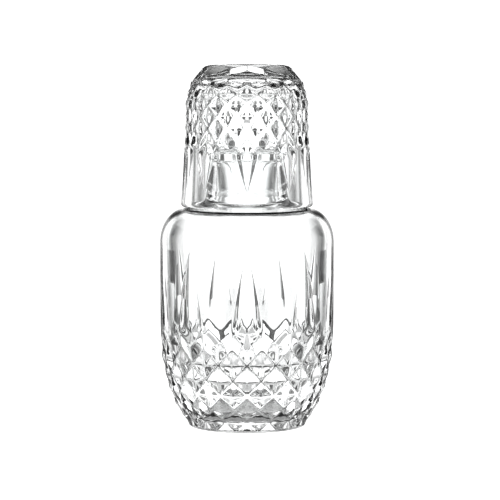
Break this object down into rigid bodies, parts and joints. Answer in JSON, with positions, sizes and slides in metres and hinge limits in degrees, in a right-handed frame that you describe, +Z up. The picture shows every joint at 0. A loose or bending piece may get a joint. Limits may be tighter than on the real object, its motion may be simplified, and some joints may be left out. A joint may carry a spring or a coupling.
{
  "type": "bedside carafe with tumbler",
  "caption": "Clear cut-glass bedside water carafe with spear and diamond cuts, closed by its own tumbler turned over the neck, which lifts off.",
  "frame": {"origin": "on the table under the middle of the carafe's foot ring", "axes": "+Z up along the common axis of carafe and tumbler, +X to the right as seen from the front, a spear of each piece faces the front, -Y"},
  "size_m": [0.098, 0.098, 0.2044],
  "materials": {
    "carafe_glass": "clear fire-polished pressed glass",
    "tumbler_glass": "clear fire-polished pressed glass"
  },
  "bodies": {
    "carafe": {"carafe": "carafe_glass"},
    "tumbler": {"tumbler": "tumbler_glass"}
  },
  "joints": [
    {"name": "tumbler_lift", "type": "slide", "parent": "carafe", "child": "tumbler", "axis": [0, 0, 1], "range_m": [0, 0.08]}
  ]
}
